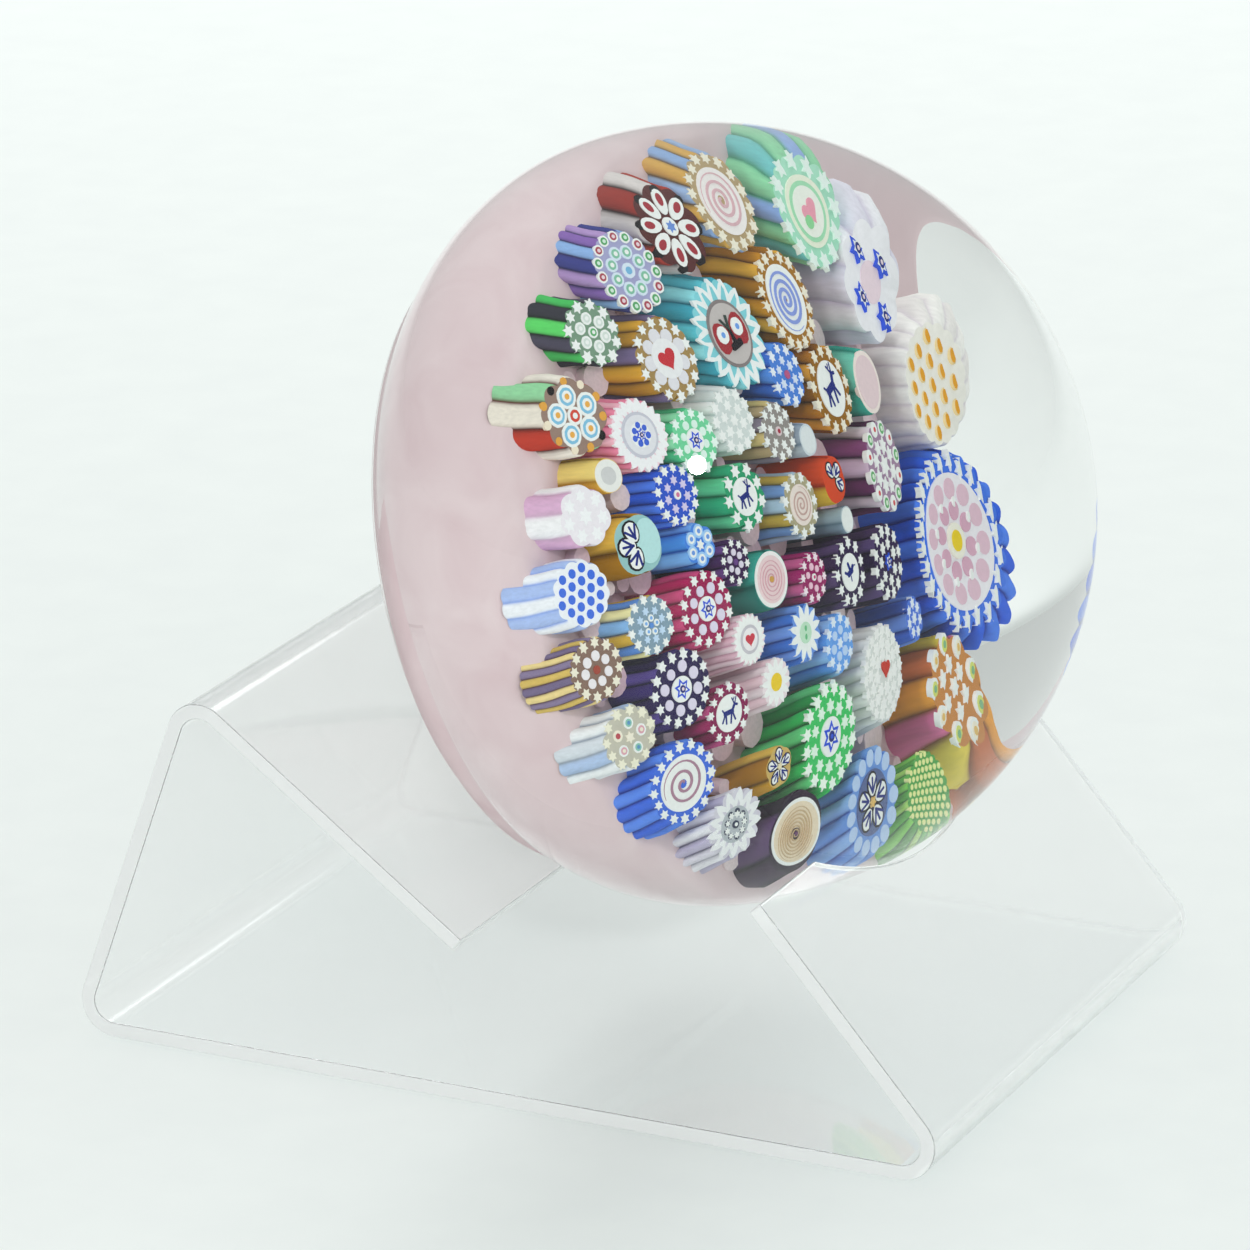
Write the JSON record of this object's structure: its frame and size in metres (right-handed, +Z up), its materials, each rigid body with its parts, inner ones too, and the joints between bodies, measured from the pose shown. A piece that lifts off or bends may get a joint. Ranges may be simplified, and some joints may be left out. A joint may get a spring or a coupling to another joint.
{
  "type": "paperweight on display stand",
  "caption": "Round clear glass paperweight with a close pack of patterned glass canes on pale pink ground, cradled in a bent clear acrylic stand.",
  "frame": {"origin": "middle of the stand's footprint, on the surface it stands on", "axes": "+Z up; -Y is the front, where the dome faces over the stand's lip; +Y is the stand's back panel; +X is to the right seen from the front"},
  "size_m": [0.0764, 0.0912, 0.0895],
  "materials": {
    "acrylic": "clear, polished faces, lightly scuffed, flame-polished edges",
    "crown_glass": "clear, fire-polished dome",
    "base_glass": "clear, ground and polished flat",
    "ground_glass": "opaque pale pink with faint veins",
    "cane_white": "opaque millefiori cane, cut face and striped sides",
    "cane_blue": "opaque millefiori cane, cut face and striped sides",
    "cane_green": "opaque millefiori cane, cut face and striped sides",
    "cane_teal": "opaque millefiori cane, cut face and striped sides",
    "cane_amber": "opaque millefiori cane, cut face and striped sides",
    "cane_red": "opaque millefiori cane, cut face and striped sides",
    "cane_plum": "opaque millefiori cane, cut face and striped sides",
    "cane_pink": "opaque millefiori cane, cut face and striped sides"
  },
  "bodies": {
    "stand": {"display_stand": "acrylic"},
    "weight": {"glass_crown": "crown_glass", "pink_ground": "ground_glass", "glass_base": "base_glass", "cane_amber_dots": "cane_white", "cane_four_blue_stars": "cane_white", "cane_mint_heart": "cane_green", "cane_ochre_spiral": "cane_amber", "cane_red_petals": "cane_red", "cane_purple_tubes": "cane_plum", "cane_green_cluster": "cane_green", "cane_red_flower_tubes": "cane_red", "cane_lilac_stripes": "cane_white", "cane_blue_honeycomb": "cane_blue", "cane_yellow_mauve": "cane_amber", "cane_white_grey": "cane_white", "cane_royal_spiral": "cane_blue", "cane_lilac_daisy": "cane_white", "cane_dark_cream_spiral": "cane_plum", "cane_blue_pansy": "cane_blue", "cane_green_lines": "cane_green", "cane_orange_cluster": "cane_amber", "cane_big_blue_rose": "cane_blue", "cane_yellow_tube": "cane_amber", "cane_teal_tube": "cane_teal", "cane_amber_spiral": "cane_amber", "cane_gold_heart": "cane_amber", "cane_pink_daisy": "cane_pink", "cane_mustard_half_pansy": "cane_amber", "cane_yellow_blue_cluster": "cane_amber", "cane_navy_star": "cane_plum", "cane_crimson_stag": "cane_red", "cane_mustard_pansy": "cane_amber", "cane_small_blue_flower": "cane_blue", "cane_amber_stag": "cane_amber", "cane_blue_star_cluster": "cane_blue", "cane_turquoise_butterfly": "cane_teal", "cane_white_stars": "cane_white", "cane_green_star": "cane_green", "cane_blue_rose_stars": "cane_blue", "cane_six_blue_tubes": "cane_blue", "cane_crimson_star": "cane_red", "cane_pale_heart_daisy": "cane_pink", "cane_yellow_centre_daisy": "cane_white", "cane_big_green_star": "cane_green", "cane_light_blue_stars": "cane_blue", "cane_white_heart": "cane_white", "cane_plum_blue_star": "cane_plum", "cane_mauve_green_tubes": "cane_plum", "cane_orange_pansy": "cane_red", "cane_grey_blue_tube": "cane_blue", "cane_grey_red_star": "cane_amber", "cane_green_stag": "cane_green", "cane_small_plum_stars": "cane_plum", "cane_teal_rings": "cane_teal", "cane_blue_green_daisy": "cane_blue", "cane_magenta_stars": "cane_red", "cane_plum_figure": "cane_plum", "cane_grey_blue_chip": "cane_blue", "cane_beige_spiral": "cane_amber"}
  },
  "joints": [
    {"name": "weight_lift", "type": "slide", "parent": "stand", "child": "weight", "axis": [0, 0, 1], "range_m": [0, 0.06]}
  ]
}
